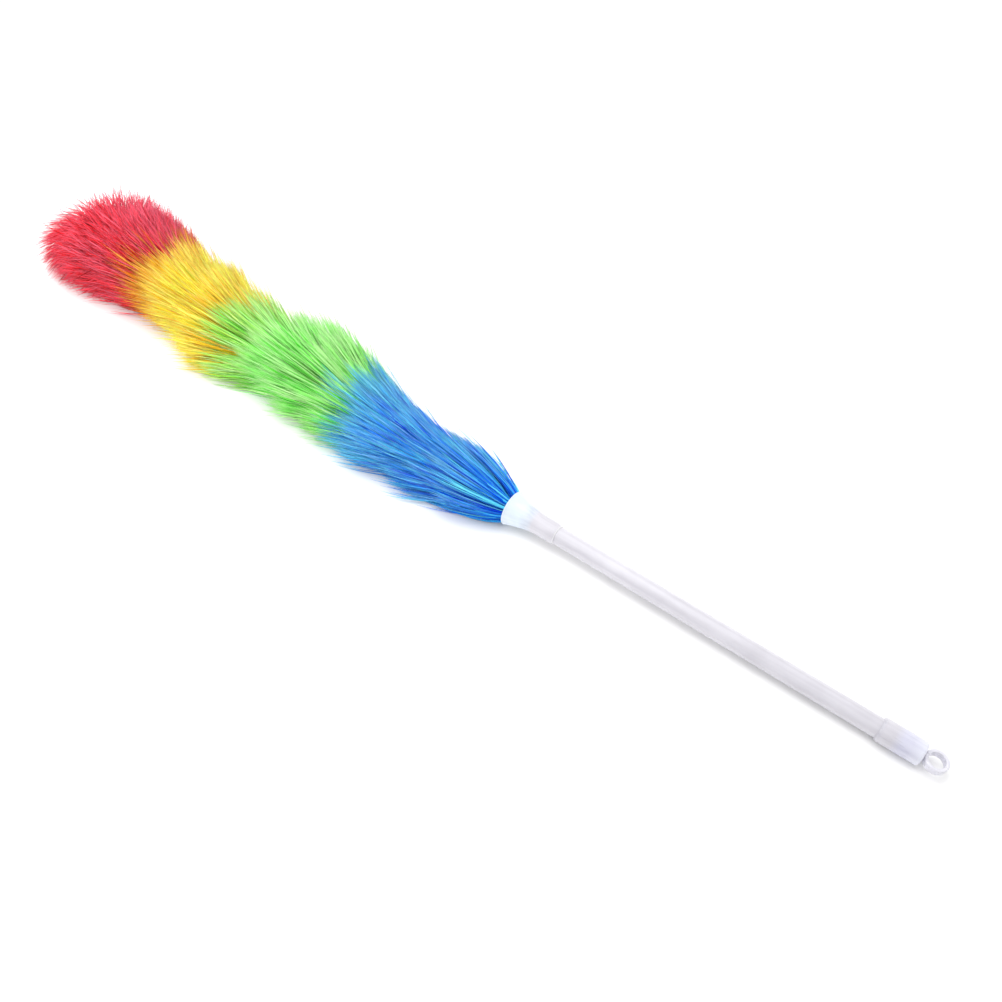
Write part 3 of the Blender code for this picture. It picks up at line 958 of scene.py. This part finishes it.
def tints(rng, line, of_tuft, band, over, over_start):
    """The colour at each point of each filament, with painted highlight towards the tips and on the far
    side, and painted shade towards the roots.
    """
    count, rows = line.shape[:2]
    share = np.linspace(0, 1, rows)[None, :, None]
    # A thicker film of the same plastic is darker and its colour is deeper; a thinner one is lighter.
    film = rng.normal(0.0, FILM_OF_TUFT, of_tuft.max() + 1)[of_tuft]
    film = film + rng.normal(FILM_MEAN, FILM_OF_FILAMENT, count)
    film = np.clip(film, *FILM_LIMITS)[:, None, None]
    bright = BRIGHTNESS * np.exp(-band.darkens * film) * rng.normal(1.0, BRIGHT_SPREAD, (count, 1, 1))
    # Painted highlight: each filament grows paler towards its tip, standing in for the sheen of the tips.
    painted_highlight = np.clip(rng.normal(TIP_HIGHLIGHT_MEAN, TIP_HIGHLIGHT_SPREAD, (count, 1, 1)), 0, 1)
    painted_highlight = painted_highlight * np.clip((share - TIP_HIGHLIGHT_FROM) / (1 - TIP_HIGHLIGHT_FROM), 0, 1) ** TIP_HIGHLIGHT_POWER
    # Painted glints: some filaments are pale nearly all along.
    glinting = rng.random((count, 1, 1)) < GLINT_FILAMENTS
    painted_highlight = np.where(glinting, GLINT_ROOT + GLINT_GAIN * share, painted_highlight)
    # Painted highlight: filaments on the far side grow paler towards their tips, as if lit from above that
    # side.
    far = np.clip((line @ SIDE - MOUTH[1]) / FAR_HIGHLIGHT_REACH, 0, 1)[..., None]
    painted_highlight = painted_highlight + (1 - painted_highlight) * FAR_PAINTED_HIGHLIGHT * far * share
    # Painted shade: deep between the tufts, towards the roots, the colour is deeper, where light has
    # passed through many filaments; a thicker film deepens it too.
    film_and_shade_depth = np.exp(FILM_DEEPENS * film) * (1 + ROOT_PAINTED_SHADE * (1 - share) ** ROOT_SHADE_POWER)
    colours = band.body**film_and_shade_depth * bright * (1 - painted_highlight) + band.tip * painted_highlight
    if over is not None:
        depth = -(line - MOUTH) @ AXIS
        near = np.clip((depth - over_start) / OVER_LENGTH, 0, 1)[..., None]
        near = near * np.clip(rng.normal(band.over, OVER_SPREAD, (count, 1, 1)), 0, 1)
        colours = colours * (1 - near) + BANDS[over].body * near
    return np.clip(colours, 0, 1)


def add_tint(mesh, colours):
    """Stores the colours on the mesh's corners."""
    body = np.repeat(colours[:, :-1], 3, axis=1)
    every = np.concatenate([body, colours[:, -1:]], 1).reshape(-1, 3)
    rgba = np.concatenate([every, np.ones((len(every), 1))], 1)
    layer = mesh.color_attributes.new("tint", "FLOAT_COLOR", "POINT")
    layer.data.foreach_set("color", rgba.astype(np.float32).ravel())


def build_band(colour, index, start, end):
    """All filaments of one colour, in pieces of bounded size."""
    rng = np.random.default_rng(SEED + index)
    band = BANDS[colour]
    material = filament_plastic(colour)
    colours = list(BANDS)
    over = colours[index + 1] if index + 1 < len(colours) else None
    root, tip, angle, tip_angle, full, of_tuft = tufts(rng, colour, start, end)
    root = np.clip(root, FIRST_ROOT, WIRE_FREE)
    radius = np.minimum(brush_radius(tip, tip_angle) * full, LONGEST)
    if over is None:
        tip, tip_angle, radius = fan_out(rng, root, tip, tip_angle, radius)
    line = centre_lines(rng, root, tip, angle, tip_angle, radius, band)
    line = lay_on_ground(keep_in_funnel(line))
    tint = tints(rng, line, of_tuft, band, over, end)
    points = ribbons(rng, line)
    points[..., 2] = np.maximum(points[..., 2], LOWEST)
    parts = np.array_split(np.argsort(root), math.ceil(band.count / PIECE_SIZE))
    for k, chosen in enumerate(parts):
        name = f"{colour}_filaments_{'abcdef'[k]}"
        quads, tris = ribbon_faces(len(chosen), CURVE_POINTS)
        mesh = mesh_from_arrays(name, points[chosen].reshape(-1, 3), quads, tris)
        mesh.shade_smooth()
        strip_map(mesh, len(chosen), CURVE_POINTS)
        add_tint(mesh, tint[chosen])
        mesh.materials.append(material)
        ob = new_object(name, mesh)
        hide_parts(f"bristles_{colour}")


# ---------------------------------------------------------------- stage


def build_floor():
    """A plain pale floor."""
    far = FLOOR_REACH
    mesh = bpy.data.meshes.new("floor")
    corners = [(-far, -far, 0), (far, -far, 0), (far, far, 0), (-far, far, 0)]
    mesh.from_pydata(corners, [], [(0, 1, 2, 3)])
    floor = bpy.data.objects.new("floor", mesh)
    bpy.context.scene.collection.objects.link(floor)
    material, tree, shader = new_material("floor_white")
    shader.inputs["Base Color"].default_value = (FLOOR_WHITE, FLOOR_WHITE, FLOOR_WHITE, 1)
    shader.inputs["Roughness"].default_value = 0.8
    shader.inputs["Specular IOR Level"].default_value = 0.1
    mesh.materials.append(material)


def build_lamp(name, size, power, place_at, aim, spread_angle=180):
    """A round soft lamp, with a grid that narrows its light to an angle."""
    lamp = bpy.data.lights.new(name, "AREA")
    lamp.shape = "DISK"
    lamp.size = size
    lamp.energy = power
    lamp.spread = math.radians(spread_angle)
    ob = bpy.data.objects.new(name, lamp)
    bpy.context.scene.collection.objects.link(ob)
    ob.location = place_at
    ob.rotation_mode = "QUATERNION"
    ob.rotation_quaternion = (Vector(aim) - Vector(place_at)).to_track_quat("-Z", "Y")


def build_light():
    """A white room, a broad soft lamp straight above the duster and a fill on the brush's near side."""
    world = bpy.data.worlds.new("studio")
    world.use_nodes = True
    world.node_tree.nodes["Background"].inputs["Color"].default_value = (1, 1, 1, 1)
    world.node_tree.nodes["Background"].inputs["Strength"].default_value = ROOM_LIGHT
    bpy.context.scene.world = world
    build_lamp("softbox", SOFTBOX_SIZE, SOFTBOX_POWER, SOFTBOX_AT, (*SOFTBOX_AT[:2], 0.0))
    build_lamp("fill", FILL_SIZE, FILL_POWER, FILL_AT, FILL_AIM, FILL_SPREAD)


def build_camera():
    """Above the handle's end, looking along the duster towards the brush."""
    level = math.cos(CAMERA_TILT)
    ahead = Vector(
        (-math.sin(CAMERA_AZIMUTH) * level, math.cos(CAMERA_AZIMUTH) * level, -math.sin(CAMERA_TILT))
    )
    data = bpy.data.cameras.new("camera")
    data.sensor_width = CAMERA_SENSOR
    data.lens = CAMERA_LENS
    data.clip_start = 0.01
    ob = bpy.data.objects.new("camera", data)
    bpy.context.scene.collection.objects.link(ob)
    ob.location = Vector(MOUTH) + CAMERA_AT
    ob.rotation_mode = "QUATERNION"
    ob.rotation_quaternion = ahead.to_track_quat("-Z", "Y") @ Quaternion((0, 0, 1), CAMERA_ROLL)
    bpy.context.scene.camera = ob


# ---------------------------------------------------------------- the scene

build_camera()
build_light()
build_floor()
bpy.context.scene.view_settings.view_transform = "Standard"
bpy.context.scene.view_settings.look = "None"

build_tube(frosted_plastic("frosted_tube", TUBE_SHADES, clear=0.08, rough=0.36))
# The cap's base shades paint shade on its lip; its hollow zone paints the shadow seen through its wall.
build_cap(frosted_plastic("frosted_cap", CAP_LIP_PAINTED_SHADE, clear=0.08, rough=0.30, zones=CAP_ZONES))
build_ring(frosted_plastic("frosted_ring", RING_SHADES, clear=0.25, rough=0.30))
build_collar(frosted_plastic("frosted_collar", COLLAR_SHADES, clear=0.08, rough=0.34, zones=COLLAR_ZONES))
GREY = hidden_plastic()
build_bush(GREY)
build_tip_cap(GREY)
STEEL = steel()
build_strand("twisted_wire_a", "wire_strand_a", 0.0, STEEL)
build_strand("twisted_wire_b", "wire_strand_b", math.pi, STEEL)
starts = [FIRST_ROOT, *ROOT_ENDS[:-1]]
for index, colour in enumerate(BANDS):
    build_band(colour, index, starts[index], ROOT_ENDS[index])
